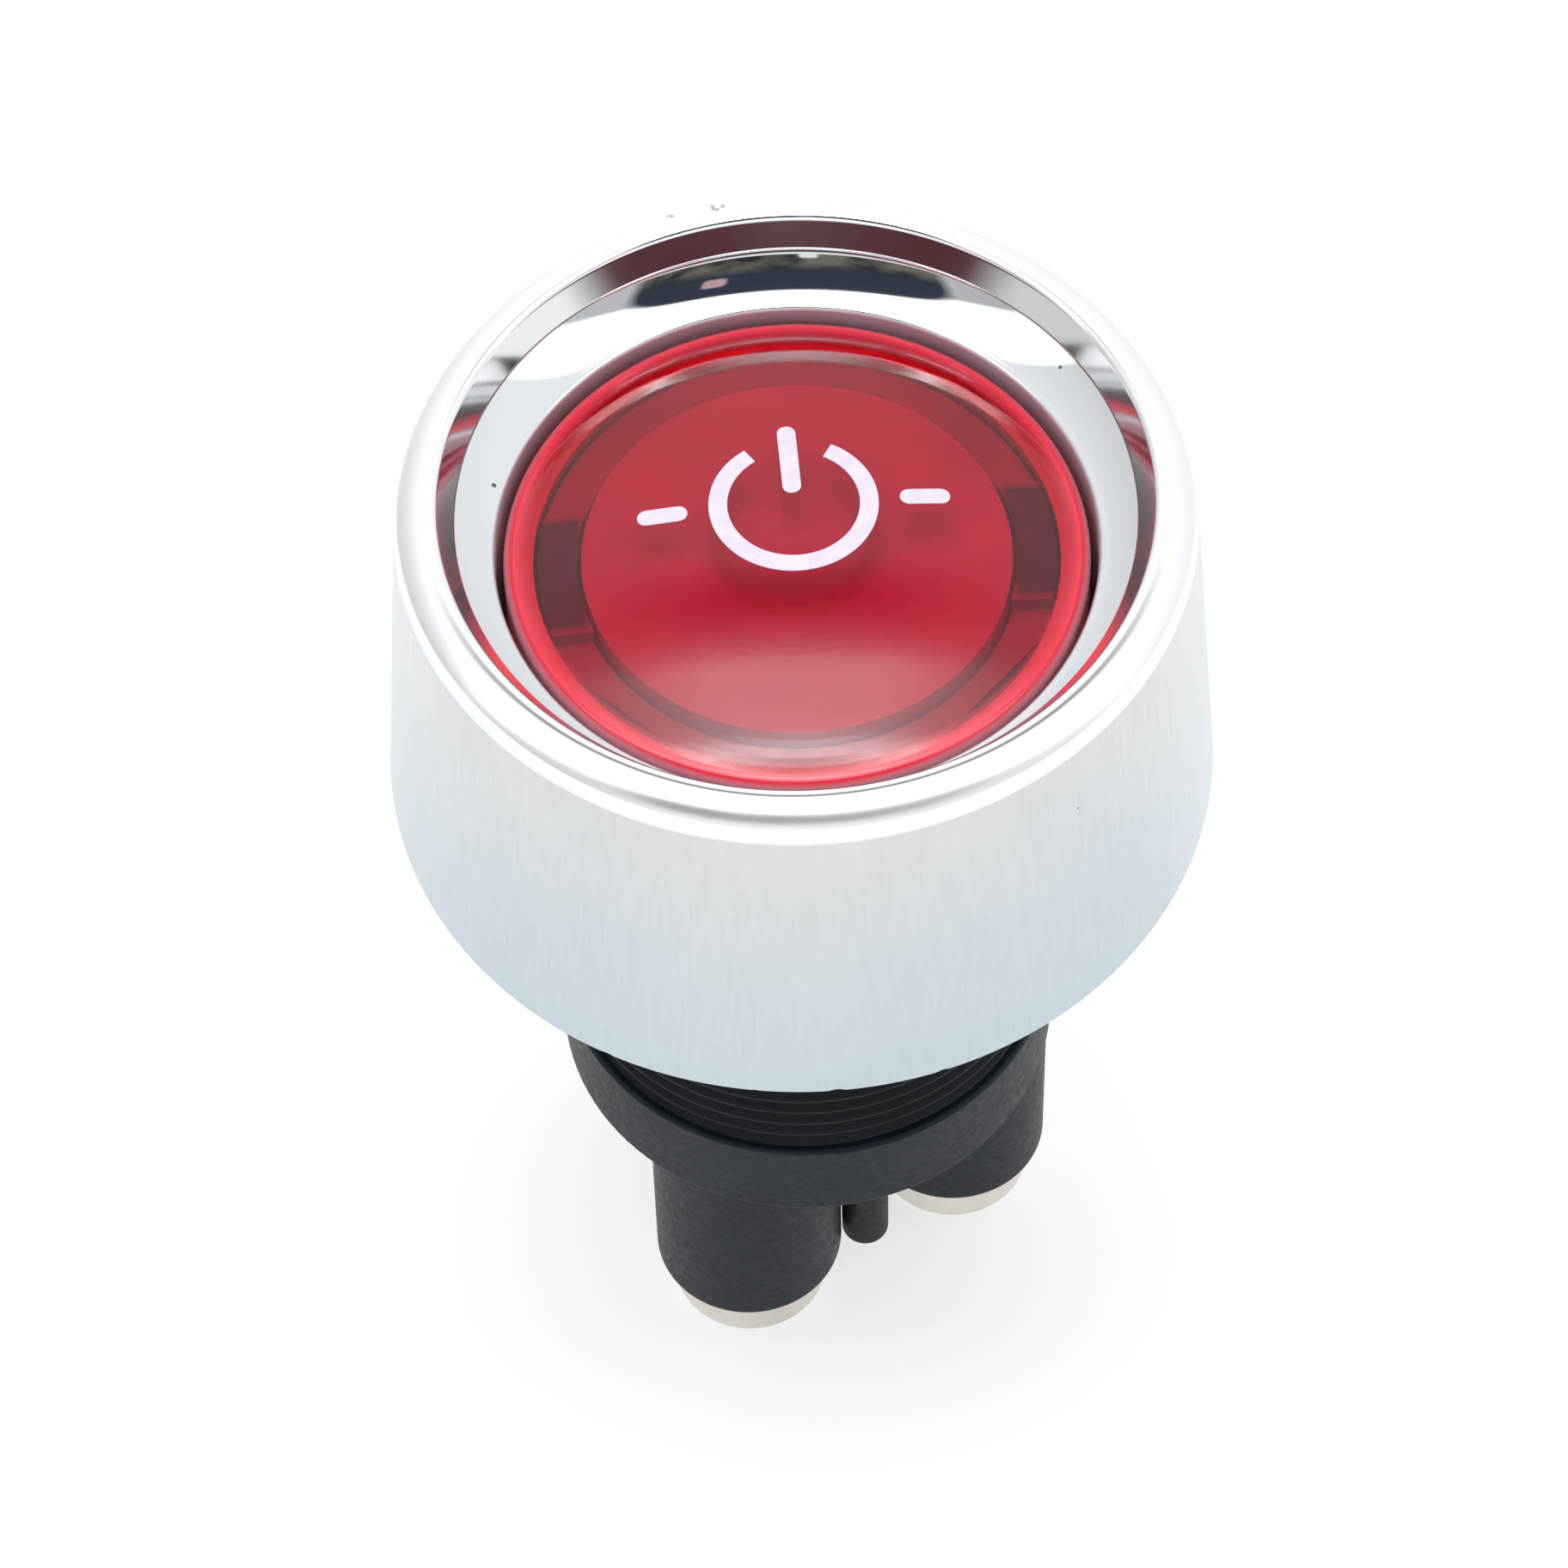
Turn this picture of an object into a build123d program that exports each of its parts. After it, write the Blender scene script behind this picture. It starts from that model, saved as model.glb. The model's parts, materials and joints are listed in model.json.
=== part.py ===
from build123d import *
import math
import os

# An illuminated momentary push button for a panel: chrome bezel with a dished ring,
# a red lens cap that travels 2.5 mm, a threaded neck with its nut and gasket, and
# three insulated screw terminals behind. All sizes are millimetres. The button's
# axis is Z, and z = 0 is the plane that the three terminal bushes stand on.

os.makedirs("parts", exist_ok=True)

# ---------------------------------------------------------------- driving sizes
total_height = 56.95

# bezel shell
crest_r = 16.5            # radius at which the rim is highest
land_round = 2.2          # the rim's top, falling outwards from the crest
land_r = 18.0
bevel_r = 18.2            # foot of the bevel round the land
bevel_z = 55.55
crest_round = 0.4         # the rim's inner edge, falling inwards from the crest
inner_wall_slope = 58.0   # degrees from horizontal, wall inside the rim
seam_z = 55.58            # lower edge of that wall
seam_bevel_r = 0.15       # relief behind that edge
seam_bevel_z = 0.25
bezel_base_r = 19.59
bezel_base_z = 37.4
bezel_wall = 1.35
bezel_edge_round = 0.15
ledge_z = 54.65           # underside that presses on the dish ring
ledge_r = 16.25

# dish ring
lip_r = 13.77
lip_z = 53.14
lip_round = 0.22
dish_r = 16.2
dish_z = 54.42
dish_arc_radius = 9.5
dish_rim_r = 16.6
dish_rim_z = 54.6
dish_under_z = 52.6
skirt_r = 14.9
skirt_z = 42.5

# barrel
thread_r = 11.9
thread_depth = 0.4
thread_pitch = 1.0
thread_flat = 0.15
thread_turns = 15
collar_top_z = 20.2
neck_end_z = 16.4
neck_end_r = 10.95
neck_bore_r = 9.4
guide_bore_r = 8.6
guide_z = 37.0
flange_r = 17.95
flange_z = 38.4
floor_z = 40.4
tube_in_r = 15.0
tube_out_r = 16.0
slot_width = 2.2
slot_reach = 9.3

# gasket and nut
gasket_z = 36.9
gasket_in_r = 12.1
gasket_out_r = 17.6
gasket_round = 0.3
nut_low_z = 29.9
nut_high_z = 32.7
nut_r = 14.2
nut_bore_r = 11.95
nut_grips = 12
nut_grip_r = 0.9
nut_chamfer = 0.5

# terminal base, its towers and the contact block
base_z = 14.9
collar_r = 12.3
collar_edge_round = 0.25
neck_pocket_r = 11.0
common_angle = -4.5       # degrees about the axis, one for each terminal
tower_spacing = 115.5
tower_ring_r = 7.4
tower_r = 4.75
tower_z = 2.9
tower_edge_round = 0.5
bush_r = 3.9
bush_chamfer = 0.15
bush_neck_r = 1.5
screw_hole_r = 1.65
screw_hole_depth = 9.0
screw_mouth_r = 2.1
stem_r = 1.2
block_low_z = 18.6
block_top_z = 22.4
block_r = 9.35
recess_r = 6.1
recess_z = 20.8
peg_r = 1.2
peg_ring_r = 6.51
peg_z = 2.4
peg_end_round = 0.4
contact_r = 1.3
fixed_contact_top_z = 23.0

# lamp and its holder
holder_r = 3.4
holder_bore_r = 2.3
holder_spigot_r = 2.9
holder_top_z = 36.5
lamp_rim_r = 2.9
lamp_rim_height = 1.0
lamp_r = 2.5
lamp_top_z = 43.0
lead_r = 0.25
lead_offset = 1.27
lead_bend_z = 17.5
lead_bend_round = 0.8
lead_gap = 0.05
resistor_r = 0.9
resistor_low_z = 24.0
resistor_length = 4.5
resistor_end_round = 0.3

# moving button
cap_r = 13.4
cap_wall = 1.5
cap_skirt_z = 43.2
cap_shoulder_z = 52.93
cap_crown_z = 54.3
cap_round = 0.65
cap_ceiling_z = 51.6
cap_inside_round = 0.4
mark_thickness = 0.06
mark_centre_y = 1.5
mark_ring_r = 3.45
mark_stroke = 0.85
mark_gap_angle = 62.0
mark_bar_low = 0.55
mark_bar_high = 4.6
mark_dash_length = 2.3
mark_dash_centre = 6.0
diffuser_r = 9.7
diffuser_low_z = 50.2
diffuser_top_z = 51.5
carrier_r = 11.85
carrier_low_z = 46.2
carrier_floor = 1.4
carrier_hole_r = 6.0
carrier_ring_r = 11.7
carrier_ring_in_r = 9.9
carrier_ledge_r = 9.0
carrier_ring_top_z = 50.8
carrier_flat = 10.9
carrier_flat_angles = (-45, -135)
lug_width = 6.6
lug_top_z = 51.45
leg_width = 5.0
leg_in_r = 8.6
leg_out_r = 9.8
leg_z = 43.9
hook_in_r = 7.6
hook_low_z = 44.1
hook_high_z = 45.1
hook_play = 0.1
plunger_r = 9.32
plunger_guide_r = 8.52
plunger_low_z = 28.6
plunger_shoulder_z = 36.9
plunger_bore_r = 6.4
web_low_z = 35.0
web_high_z = 36.7
web_hole_r = 3.8
sleeve_in_r = 4.9
sleeve_out_r = 5.5
sleeve_z = 23.6
key_width = 2.0
key_r = 9.15
key_high_z = 45.0
clip_z = 24.3
clip_height = 0.5
clip_in_r = 5.3
clip_out_r = 5.9
clip_gap = 3.0

# moving contacts and springs
bridge_low_z = 24.9
bridge_thickness = 0.7
bridge_in_r = 5.65
bridge_out_r = 9.1
bridge_contact_z = 24.6
return_wire_r = 0.3
return_coil_r = 4.15
return_turns = 8.5
contact_wire_r = 0.25
contact_coil_r = 7.2
contact_turns = 2.5
spring_end_gap = 0.02

level_tolerance = 0.01

# ---------------------------------------------------------------- derived sizes
lamp_angle = common_angle + tower_spacing
switched_angle = common_angle - tower_spacing
tower_angles = (common_angle, lamp_angle, switched_angle)
contact_angles = (common_angle, switched_angle)
peg_angle = lamp_angle + 180
bridge_top_z = bridge_low_z + bridge_thickness
cap_shoulder_r = cap_r - cap_round
crown_rise = cap_crown_z - cap_shoulder_z
dome_radius = (cap_shoulder_r**2 + crown_rise**2) / (2 * crown_rise)
dome_centre_z = cap_crown_z - dome_radius


def on_circle(centre_r, centre_z, radius, angle):
    """A profile point at an angle from horizontal on a circle of the profile."""
    turn = math.radians(angle)
    return (centre_r + radius * math.cos(turn), centre_z + radius * math.sin(turn))


def at_angle(radius, angle, z=0.0):
    """A point at a radius from the button's axis, at an angle about it."""
    turn = math.radians(angle)
    return (radius * math.cos(turn), radius * math.sin(turn), z)


def at_level(edge, z):
    """Whether an edge is a whole circle that lies at a level."""
    return edge.is_closed and abs(edge.center().Z - z) < level_tolerance


def save(part, name):
    """Labels a finished piece and writes it as its own file."""
    part.label = name
    export_step(part, f"parts/{name}.step")


tower_spots = [at_angle(tower_ring_r, angle) for angle in tower_angles]
contact_spots = [at_angle(tower_ring_r, angle) for angle in contact_angles]

# ---------------------------------------------------------------- bezel shell
crest = (crest_r, total_height)
land_turn = math.degrees(math.asin((land_r - crest_r) / land_round))
land_centre_z = total_height - land_round
land_middle = on_circle(crest_r, land_centre_z, land_round, 90 - land_turn / 2)
land_edge = on_circle(crest_r, land_centre_z, land_round, 90 - land_turn)
wall_centre_z = total_height - crest_round
wall_top_angle = 90 + inner_wall_slope
wall_top = on_circle(crest_r, wall_centre_z, crest_round, wall_top_angle)
wall_top_middle = on_circle(crest_r, wall_centre_z, crest_round, (90 + wall_top_angle) / 2)
seam_r = wall_top[0] - (wall_top[1] - seam_z) / math.tan(math.radians(inner_wall_slope))
cone_flare = (bezel_base_r - bevel_r) / (bevel_z - bezel_base_z)
bezel_floor_r = bezel_base_r - (floor_z - bezel_base_z) * cone_flare - bezel_wall
inner_cone_top_r = bezel_floor_r - (ledge_z - floor_z) * cone_flare

with BuildPart() as bezel_shell:
    with BuildSketch(Plane.XZ):
        with BuildLine():
            Polyline((bezel_base_r, bezel_base_z), (bevel_r, bevel_z), land_edge)
            ThreePointArc(land_edge, land_middle, crest)
            ThreePointArc(crest, wall_top_middle, wall_top)
            Polyline(
                wall_top,
                (seam_r, seam_z),
                (seam_r + seam_bevel_r, seam_z - seam_bevel_z),
                (ledge_r, ledge_z),
                (inner_cone_top_r, ledge_z),
                (bezel_floor_r, floor_z),
                (bezel_floor_r, bezel_base_z),
                (bezel_base_r, bezel_base_z),
            )
        make_face()
    revolve(axis=Axis.Z)
    fillet(bezel_shell.edges().filter_by(GeomType.CIRCLE).group_by(Axis.Z)[0], bezel_edge_round)
save(bezel_shell.part, "bezel_shell")

# ---------------------------------------------------------------- dish ring
with BuildPart() as dish_ring:
    with BuildSketch(Plane.XZ):
        with BuildLine():
            RadiusArc((lip_r, lip_z), (dish_r, dish_z), -dish_arc_radius)
            Polyline(
                (dish_r, dish_z),
                (ledge_r, dish_rim_z),
                (dish_rim_r, dish_rim_z),
                (dish_rim_r, dish_under_z),
                (skirt_r, dish_under_z),
                (skirt_r, skirt_z),
                (lip_r, skirt_z),
                (lip_r, lip_z),
            )
        make_face()
    revolve(axis=Axis.Z)
    fillet(dish_ring.edges().filter_by(lambda edge: at_level(edge, lip_z)), lip_round)
save(dish_ring.part, "dish_ring")

# ---------------------------------------------------------------- barrel
root_r = thread_r - thread_depth
flank = (thread_pitch - 2 * thread_flat) / 2
thread_outline = []
for turn in range(thread_turns):
    low = collar_top_z + turn * thread_pitch
    thread_outline += [
        (root_r, low),
        (root_r, low + thread_flat),
        (thread_r, low + thread_flat + flank),
        (thread_r, low + 2 * thread_flat + flank),
    ]
thread_end_z = collar_top_z + thread_turns * thread_pitch

with BuildPart() as barrel:
    with BuildSketch(Plane.XZ):
        with BuildLine():
            Polyline(
                (neck_bore_r, neck_end_z),
                (neck_end_r, neck_end_z),
                (neck_end_r, collar_top_z),
                *thread_outline,
                (root_r, thread_end_z),
                (thread_r, thread_end_z + thread_depth),
                (thread_r, flange_z),
                (flange_r, flange_z),
                (flange_r, floor_z),
                (tube_out_r, floor_z),
                (tube_out_r, dish_under_z),
                (tube_in_r, dish_under_z),
                (tube_in_r, floor_z),
                (guide_bore_r, floor_z),
                (guide_bore_r, guide_z),
                (neck_bore_r, guide_z),
                close=True,
            )
        make_face()
    revolve(axis=Axis.Z)
    with BuildSketch(Plane.XY.offset(guide_z)):
        Rectangle(slot_width, 2 * slot_reach)
    extrude(amount=floor_z - guide_z, mode=Mode.SUBTRACT)
save(barrel.part, "barrel")

# ---------------------------------------------------------------- gasket and nut
with BuildPart() as panel_gasket:
    with BuildSketch(Plane.XY.offset(gasket_z)):
        Circle(gasket_out_r)
        Circle(gasket_in_r, mode=Mode.SUBTRACT)
    extrude(amount=flange_z - gasket_z)
    low_edges = panel_gasket.edges().filter_by(GeomType.CIRCLE).group_by(Axis.Z)[0]
    fillet(low_edges.sort_by(SortBy.RADIUS)[-1], gasket_round)
save(panel_gasket.part, "panel_gasket")

with BuildPart() as mounting_nut:
    with BuildSketch(Plane.XY.offset(nut_low_z)):
        Circle(nut_r)
        Circle(nut_bore_r, mode=Mode.SUBTRACT)
    extrude(amount=nut_high_z - nut_low_z)
    chamfer(mounting_nut.edges().filter_by(GeomType.CIRCLE).sort_by(SortBy.RADIUS)[-2:], nut_chamfer)
    with BuildSketch(Plane.XY.offset(nut_low_z)):
        with PolarLocations(nut_r, nut_grips):
            Circle(nut_grip_r)
    extrude(amount=nut_high_z - nut_low_z, mode=Mode.SUBTRACT)
save(mounting_nut.part, "mounting_nut")

# ---------------------------------------------------------------- terminal base
with BuildPart() as terminal_base:
    with BuildSketch(Plane.XY.offset(base_z)):
        Circle(collar_r)
    extrude(amount=collar_top_z - base_z)
    fillet(terminal_base.edges().filter_by(GeomType.CIRCLE), collar_edge_round)
    with BuildSketch(Plane.XY.offset(tower_z)):
        with Locations(*tower_spots):
            Circle(tower_r)
    extrude(amount=base_z + collar_edge_round - tower_z)
    fillet(terminal_base.edges().filter_by(GeomType.CIRCLE).group_by(Axis.Z)[0], tower_edge_round)
    with BuildSketch(Plane.XY.offset(neck_end_z)):
        Circle(neck_pocket_r)
    extrude(amount=collar_top_z - neck_end_z, mode=Mode.SUBTRACT)
    with BuildSketch(Plane.XY.offset(tower_z)):
        with Locations(*tower_spots):
            Circle(bush_r)
    extrude(amount=base_z - tower_z, mode=Mode.SUBTRACT)
    with BuildSketch(Plane.XY.offset(base_z)):
        with Locations(*tower_spots):
            Circle(bush_neck_r)
        with Locations(at_angle(peg_ring_r, peg_angle)):
            Circle(peg_r)
    extrude(amount=neck_end_z - base_z, mode=Mode.SUBTRACT)
save(terminal_base.part, "terminal_base")

with BuildPart() as contact_block:
    with BuildSketch(Plane.XY.offset(block_low_z)):
        Circle(block_r)
        Circle(holder_spigot_r, mode=Mode.SUBTRACT)
        with Locations(*tower_spots):
            Circle(stem_r, mode=Mode.SUBTRACT)
    extrude(amount=block_top_z - block_low_z)
    with BuildSketch(Plane.XY.offset(recess_z)):
        Circle(recess_r)
    extrude(amount=block_top_z - recess_z, mode=Mode.SUBTRACT)
save(contact_block.part, "contact_block")


# ---------------------------------------------------------------- terminals
def terminal(angle):
    """A plated bush with a tapped hole below and a riveted stem above."""
    with BuildPart() as made:
        with BuildSketch(Plane.XZ):
            with BuildLine():
                Polyline(
                    (screw_hole_r, screw_hole_depth),
                    (0, screw_hole_depth),
                    (0, block_top_z),
                    (stem_r, block_top_z),
                    (stem_r, block_low_z),
                    (bush_neck_r, block_low_z),
                    (bush_neck_r, base_z),
                    (bush_r, base_z),
                    (bush_r, bush_chamfer),
                    (bush_r - bush_chamfer, 0),
                    (screw_mouth_r, 0),
                    (screw_hole_r, screw_mouth_r - screw_hole_r),
                    close=True,
                )
            make_face()
        revolve(axis=Axis.Z)
    return Pos(*at_angle(tower_ring_r, angle)) * made.part


save(terminal(common_angle), "terminal_common")
save(terminal(switched_angle), "terminal_switched")
save(terminal(lamp_angle), "terminal_lamp")

with BuildPart() as lamp_peg:
    with BuildSketch(Plane.XY.offset(peg_z)):
        with Locations(at_angle(peg_ring_r, peg_angle)):
            Circle(peg_r)
    extrude(amount=block_low_z - peg_z)
    fillet(lamp_peg.edges().group_by(Axis.Z)[0], peg_end_round)
save(lamp_peg.part, "lamp_peg")

with BuildPart() as fixed_contacts:
    with BuildSketch(Plane.XY.offset(block_top_z)):
        with Locations(*contact_spots):
            Circle(contact_r)
    extrude(amount=fixed_contact_top_z - block_top_z)
save(fixed_contacts.part, "fixed_contacts")

# ---------------------------------------------------------------- lamp
with BuildPart() as lamp_holder:
    with BuildSketch(Plane.XY.offset(recess_z)):
        Circle(holder_r)
    extrude(amount=holder_top_z - recess_z)
    with BuildSketch(Plane.XY.offset(block_low_z)):
        Circle(holder_spigot_r)
    extrude(amount=recess_z - block_low_z)
    with BuildSketch(Plane.XY.offset(block_low_z)):
        Circle(holder_bore_r)
    extrude(amount=holder_top_z - block_low_z, mode=Mode.SUBTRACT)
save(lamp_holder.part, "lamp_holder")

lamp_dome_z = lamp_top_z - lamp_r
with BuildPart() as lamp:
    with BuildSketch(Plane.XZ):
        with BuildLine():
            Polyline(
                (0, lamp_top_z),
                (0, holder_top_z),
                (lamp_rim_r, holder_top_z),
                (lamp_rim_r, holder_top_z + lamp_rim_height),
                (lamp_r, holder_top_z + lamp_rim_height),
                (lamp_r, lamp_dome_z),
            )
            lamp_dome_middle = on_circle(0, lamp_dome_z, lamp_r, 45)
            ThreePointArc((lamp_r, lamp_dome_z), lamp_dome_middle, (0, lamp_top_z))
        make_face()
    revolve(axis=Axis.Z)
save(lamp.part, "lamp")


def lead(side, top_z, reach):
    """A lamp lead: down beside the axis, then out towards its terminal."""
    across = Vector(*at_angle(1, lamp_angle)) * side
    start = across * lead_offset + Vector(0, 0, top_z)
    corner = across * lead_offset + Vector(0, 0, lead_bend_z)
    end = across * reach + Vector(0, 0, lead_bend_z)
    with BuildPart() as made:
        with BuildLine():
            FilletPolyline(start, corner, end, radius=lead_bend_round)
        with BuildSketch(Plane(origin=start, z_dir=(0, 0, -1))):
            Circle(lead_r)
        sweep()
    return made.part


resistor_top_z = resistor_low_z + resistor_length
feed_reach = tower_ring_r - bush_neck_r - lead_gap
peg_reach = peg_ring_r - peg_r - lead_gap
lead_centre = at_angle(-lead_offset, lamp_angle)
with BuildPart() as upper_lead:
    with BuildSketch(Plane.XY.offset(resistor_top_z)):
        with Locations(lead_centre):
            Circle(lead_r)
    extrude(amount=holder_top_z - resistor_top_z)
feed_lead = lead(1, holder_top_z, feed_reach)
peg_lead = lead(-1, resistor_low_z, peg_reach)
lamp_leads = Compound(children=[feed_lead, peg_lead, upper_lead.part])
save(lamp_leads, "lamp_leads")

with BuildPart() as lamp_resistor:
    with BuildSketch(Plane.XY.offset(resistor_low_z)):
        with Locations(lead_centre):
            Circle(resistor_r)
    extrude(amount=resistor_length)
    fillet(lamp_resistor.edges().filter_by(GeomType.CIRCLE), resistor_end_round)
save(lamp_resistor.part, "lamp_resistor")

# ---------------------------------------------------------------- button cap
cap_side_z = cap_shoulder_z - cap_round
cap_corner = on_circle(cap_shoulder_r, cap_side_z, cap_round, 45)
crown_middle = cap_shoulder_r / 2
dome_middle = (crown_middle, dome_centre_z + math.sqrt(dome_radius**2 - crown_middle**2))

with BuildPart() as button_cap:
    with BuildSketch(Plane.XZ):
        with BuildLine():
            ThreePointArc((0, cap_crown_z), dome_middle, (cap_shoulder_r, cap_shoulder_z))
            ThreePointArc((cap_shoulder_r, cap_shoulder_z), cap_corner, (cap_r, cap_side_z))
            Polyline(
                (cap_r, cap_side_z),
                (cap_r, cap_skirt_z),
                (cap_r - cap_wall, cap_skirt_z),
                (cap_r - cap_wall, cap_ceiling_z),
                (0, cap_ceiling_z),
                (0, cap_crown_z),
            )
        make_face()
    revolve(axis=Axis.Z)
    fillet(button_cap.edges().filter_by(lambda edge: at_level(edge, cap_ceiling_z)), cap_inside_round)
save(button_cap.part, "button_cap")

# The start mark: a broken ring with a bar, between two dashes, lying on the dome.
with BuildPart() as start_mark:
    with BuildSketch(Plane.XY.offset(cap_ceiling_z)):
        with Locations((0, mark_centre_y)):
            Circle(mark_ring_r + mark_stroke / 2)
            Circle(mark_ring_r - mark_stroke / 2, mode=Mode.SUBTRACT)
        with BuildLine():
            far = 2 * mark_ring_r
            half_gap = math.radians(mark_gap_angle / 2)
            Polyline(
                (0, mark_centre_y),
                (-far * math.sin(half_gap), mark_centre_y + far * math.cos(half_gap)),
                (far * math.sin(half_gap), mark_centre_y + far * math.cos(half_gap)),
                close=True,
            )
        make_face(mode=Mode.SUBTRACT)
        with Locations((0, mark_centre_y + (mark_bar_low + mark_bar_high) / 2)):
            SlotOverall(mark_bar_high - mark_bar_low, mark_stroke, rotation=90)
        with Locations((-mark_dash_centre, mark_centre_y), (mark_dash_centre, mark_centre_y)):
            SlotOverall(mark_dash_length, mark_stroke)
    extrude(amount=cap_crown_z + mark_thickness - cap_ceiling_z)
    with BuildSketch(Plane.XZ):
        with BuildLine():
            top_z = cap_crown_z + mark_thickness
            mid_top = (dome_middle[0], dome_middle[1] + mark_thickness)
            ThreePointArc((0, cap_crown_z), dome_middle, (cap_shoulder_r, cap_shoulder_z))
            Line((cap_shoulder_r, cap_shoulder_z), (cap_shoulder_r, cap_shoulder_z + mark_thickness))
            ThreePointArc((0, top_z), mid_top, (cap_shoulder_r, cap_shoulder_z + mark_thickness))
            Line((0, top_z), (0, cap_crown_z))
        make_face()
    revolve(axis=Axis.Z, mode=Mode.INTERSECT)
save(start_mark.part, "start_mark")

with BuildPart() as diffuser:
    with BuildSketch(Plane.XY.offset(diffuser_low_z)):
        Circle(diffuser_r)
    extrude(amount=diffuser_top_z - diffuser_low_z)
save(diffuser.part, "diffuser")

# ---------------------------------------------------------------- cap carrier
with BuildPart() as cap_carrier:
    with BuildSketch(Plane.XY.offset(carrier_low_z)):
        Circle(carrier_r)
    extrude(amount=carrier_floor)
    with BuildSketch(Plane.XY.offset(carrier_low_z + carrier_floor)):
        Circle(carrier_ring_r)
        for flat_angle in carrier_flat_angles:
            with Locations(Location(at_angle(carrier_flat + carrier_r / 2, flat_angle), flat_angle)):
                Rectangle(carrier_r, 2 * carrier_r, mode=Mode.SUBTRACT)
    extrude(amount=carrier_ring_top_z - carrier_low_z - carrier_floor)
    with BuildSketch(Plane.XY.offset(carrier_ring_top_z)):
        Circle(carrier_ring_r)
        Rectangle(2 * carrier_r, lug_width, mode=Mode.INTERSECT)
    extrude(amount=lug_top_z - carrier_ring_top_z)
    with BuildSketch(Plane.XY.offset(diffuser_low_z)):
        Circle(carrier_ring_in_r)
    extrude(amount=lug_top_z - diffuser_low_z, mode=Mode.SUBTRACT)
    with BuildSketch(Plane.XY.offset(carrier_low_z + carrier_floor)):
        Circle(carrier_ledge_r)
    extrude(amount=diffuser_low_z - carrier_low_z - carrier_floor, mode=Mode.SUBTRACT)
    with BuildSketch(Plane.XY.offset(carrier_low_z)):
        Circle(carrier_hole_r)
    extrude(amount=carrier_floor, mode=Mode.SUBTRACT)
    with BuildSketch(Plane.XY.offset(leg_z)):
        Circle(leg_out_r)
        Circle(leg_in_r, mode=Mode.SUBTRACT)
        Rectangle(2 * leg_out_r, leg_width, mode=Mode.INTERSECT)
    extrude(amount=carrier_low_z - leg_z)
    with BuildSketch(Plane.XY.offset(hook_low_z)):
        Circle(leg_out_r)
        Circle(hook_in_r, mode=Mode.SUBTRACT)
        Rectangle(2 * leg_out_r, leg_width, mode=Mode.INTERSECT)
    extrude(amount=hook_high_z - hook_low_z)
save(cap_carrier.part, "cap_carrier")

# ---------------------------------------------------------------- plunger
with BuildPart() as plunger:
    with BuildSketch(Plane.XZ):
        with BuildLine():
            Polyline(
                (sleeve_in_r, sleeve_z),
                (sleeve_out_r, sleeve_z),
                (sleeve_out_r, clip_z),
                (clip_in_r, clip_z),
                (clip_in_r, clip_z + clip_height),
                (sleeve_out_r, clip_z + clip_height),
                (sleeve_out_r, plunger_low_z),
                (plunger_r, plunger_low_z),
                (plunger_r, plunger_shoulder_z),
                (plunger_guide_r, plunger_shoulder_z),
                (plunger_guide_r, carrier_low_z),
                (plunger_bore_r, carrier_low_z),
                (plunger_bore_r, web_high_z),
                (web_hole_r, web_high_z),
                (web_hole_r, web_low_z),
                (sleeve_in_r, web_low_z),
                close=True,
            )
        make_face()
    revolve(axis=Axis.Z)
    with BuildSketch(Plane.XY.offset(plunger_shoulder_z)):
        Circle(key_r)
        Circle(plunger_bore_r, mode=Mode.SUBTRACT)
        Rectangle(key_width, 2 * key_r, mode=Mode.INTERSECT)
    extrude(amount=key_high_z - plunger_shoulder_z)
    with BuildSketch(Plane.XY.offset(hook_low_z - hook_play)):
        Rectangle(2 * plunger_r, leg_width + 2 * hook_play)
    extrude(amount=hook_high_z - hook_low_z + 2 * hook_play, mode=Mode.SUBTRACT)
save(plunger.part, "plunger")

with BuildPart() as retaining_clip:
    with BuildSketch(Plane.XY.offset(clip_z)):
        Circle(clip_out_r)
        Circle(clip_in_r, mode=Mode.SUBTRACT)
        with Locations((0, clip_out_r)):
            Rectangle(clip_gap, clip_out_r, mode=Mode.SUBTRACT)
    extrude(amount=clip_height)
save(retaining_clip.part, "retaining_clip")

# ---------------------------------------------------------------- moving contacts
with BuildPart() as contact_bridge:
    with BuildSketch(Plane.XY.offset(bridge_low_z)):
        Circle(bridge_out_r)
        Circle(bridge_in_r, mode=Mode.SUBTRACT)
    extrude(amount=bridge_thickness)
save(contact_bridge.part, "contact_bridge")

with BuildPart() as bridge_contacts:
    with BuildSketch(Plane.XY.offset(bridge_contact_z)):
        with Locations(*contact_spots):
            Circle(contact_r)
    extrude(amount=bridge_low_z - bridge_contact_z)
save(bridge_contacts.part, "bridge_contacts")


# ---------------------------------------------------------------- springs
def coil_spring(low_z, high_z, coil_r, wire_r, turns):
    """A compression spring between two levels on the button's axis."""
    start_z = low_z + wire_r + spring_end_gap
    height = high_z - low_z - 2 * (wire_r + spring_end_gap)
    with BuildPart() as made:
        with BuildLine() as centre_line:
            Helix(height / turns, height, coil_r, center=(0, 0, start_z))
        with BuildSketch(Plane(origin=centre_line.line @ 0, z_dir=centre_line.line % 0)):
            Circle(wire_r)
        sweep(is_frenet=True)
    return made.part


return_spring = coil_spring(recess_z, web_low_z, return_coil_r, return_wire_r, return_turns)
contact_spring = coil_spring(bridge_top_z, plunger_low_z, contact_coil_r, contact_wire_r, contact_turns)
save(return_spring, "return_spring")
save(contact_spring, "contact_spring")
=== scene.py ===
import json
import math

import bmesh
import bpy
from mathutils import Matrix, Vector


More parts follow.
